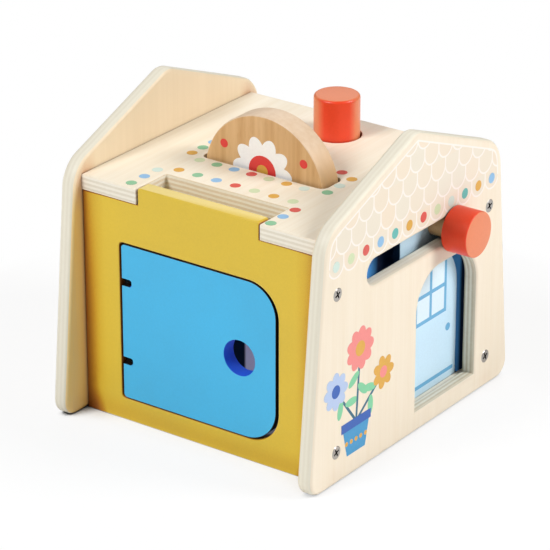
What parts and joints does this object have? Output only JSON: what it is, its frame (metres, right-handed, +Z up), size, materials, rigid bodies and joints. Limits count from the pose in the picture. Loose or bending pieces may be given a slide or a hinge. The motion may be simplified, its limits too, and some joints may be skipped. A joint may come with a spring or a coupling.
{
  "type": "pop up animal toy",
  "caption": "House-shaped wooden activity box: a push button lifts a disc through the roof, a door opens on a posting room, and a knob slides a shutter.",
  "frame": {"origin": "on the underside of the base, midway between the two gables and midway between the front and back walls", "axes": "+X from the plain gable to the gable with the knob slot, +Y from the door to the back wall, +Z up"},
  "size_m": [0.1806, 0.183, 0.1673],
  "materials": {
    "printed_ply": "satin printed birch plywood",
    "yellow_paint": "satin yellow paint on plywood",
    "blue_paint": "satin blue paint on plywood",
    "pale_blue_paint": "satin pale blue paint on plywood",
    "red_paint": "satin red paint on turned beech",
    "birch_ply": "bare sanded birch plywood",
    "printed_picture": "satin printed plywood",
    "beech": "clear-lacquered beech",
    "zinc_steel": "zinc-plated steel",
    "black_steel": "black-plated steel"
  },
  "bodies": {
    "house": {"left_gable": "printed_ply", "right_gable": "printed_ply", "front_wall": "yellow_paint", "back_wall": "yellow_paint", "base": "birch_ply", "roof": "printed_ply", "partition": "printed_picture", "picture_board": "printed_picture", "upper_rail": "birch_ply", "shelf": "birch_ply", "left_batten": "birch_ply", "right_batten": "birch_ply", "door_stop": "birch_ply", "hinge_pin": "zinc_steel", "lower_hinge_eye": "black_steel", "upper_hinge_eye": "black_steel", "left_bracket": "birch_ply", "right_bracket": "birch_ply", "rocker_axle": "zinc_steel", "left_screws": "zinc_steel", "right_screws": "zinc_steel"},
    "door": {"front_door": "blue_paint"},
    "shutter": {"shutter": "pale_blue_paint", "slide_stem": "beech", "slide_knob": "red_paint"},
    "disc": {"pop_up_disc": "beech", "disc_stem": "beech"},
    "button": {"push_button": "red_paint", "button_collar": "beech", "push_rod": "beech"},
    "rocker": {"rocker": "beech"}
  },
  "joints": [
    {"name": "door_hinge", "type": "hinge", "parent": "house", "child": "door", "pos_m": [-0.0462, -0.0702, 0.0566], "axis": [0, 0, -1], "range_deg": [0, 95]},
    {"name": "shutter_slide", "type": "slide", "parent": "house", "child": "shutter", "axis": [0, -1, 0], "range_m": [0, 0.066]},
    {"name": "disc_lift", "type": "slide", "parent": "house", "child": "disc", "axis": [0, 0, 1], "range_m": [0, 0.02]},
    {"name": "button_press", "type": "slide", "parent": "house", "child": "button", "axis": [0, 0, -1], "range_m": [0, 0.02]},
    {"name": "rocker_tilt", "type": "hinge", "parent": "house", "child": "rocker", "pos_m": [0, 0.01895, 0.045], "axis": [-1, 0, 0], "range_deg": [0, 40.18]}
  ],
  "couplings": [
    {"joint": "button_press", "follows": "disc_lift", "ratio": 1},
    {"joint": "rocker_tilt", "follows": "disc_lift", "rad_per_m": 35.017}
  ]
}
